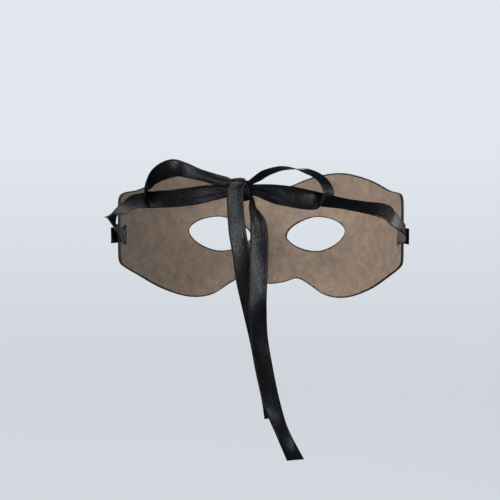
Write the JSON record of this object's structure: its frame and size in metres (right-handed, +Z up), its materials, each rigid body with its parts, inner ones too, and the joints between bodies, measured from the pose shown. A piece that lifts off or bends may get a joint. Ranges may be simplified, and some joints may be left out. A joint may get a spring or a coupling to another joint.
{
  "type": "masquerade half mask with satin ribbon ties in a bow",
  "caption": "Plain black half mask covering the eyes and nose bridge, held by satin ribbon ties that run round to a bow with long tails at the back.",
  "frame": {"origin": "inner face of the mask at the bridge of the nose, where it sits when worn", "axes": "+Z up, +Y from the mask back to the bow, +X to the wearer's left; the mask looks along -Y"},
  "size_m": [0.1907, 0.2371, 0.1724],
  "materials": {
    "mask_board": "matt black moulded shell with a fine even grain",
    "satin_ribbon": "black satin ribbon with woven edges, soft blue-grey sheen"
  },
  "bodies": {
    "root": {"mask_shell": "mask_board", "strap_left": "satin_ribbon", "strap_right": "satin_ribbon", "bow_knot": "satin_ribbon", "bow_loop_left": "satin_ribbon", "bow_loop_right": "satin_ribbon", "tail_left": "satin_ribbon", "tail_right": "satin_ribbon"}
  },
  "joints": []
}
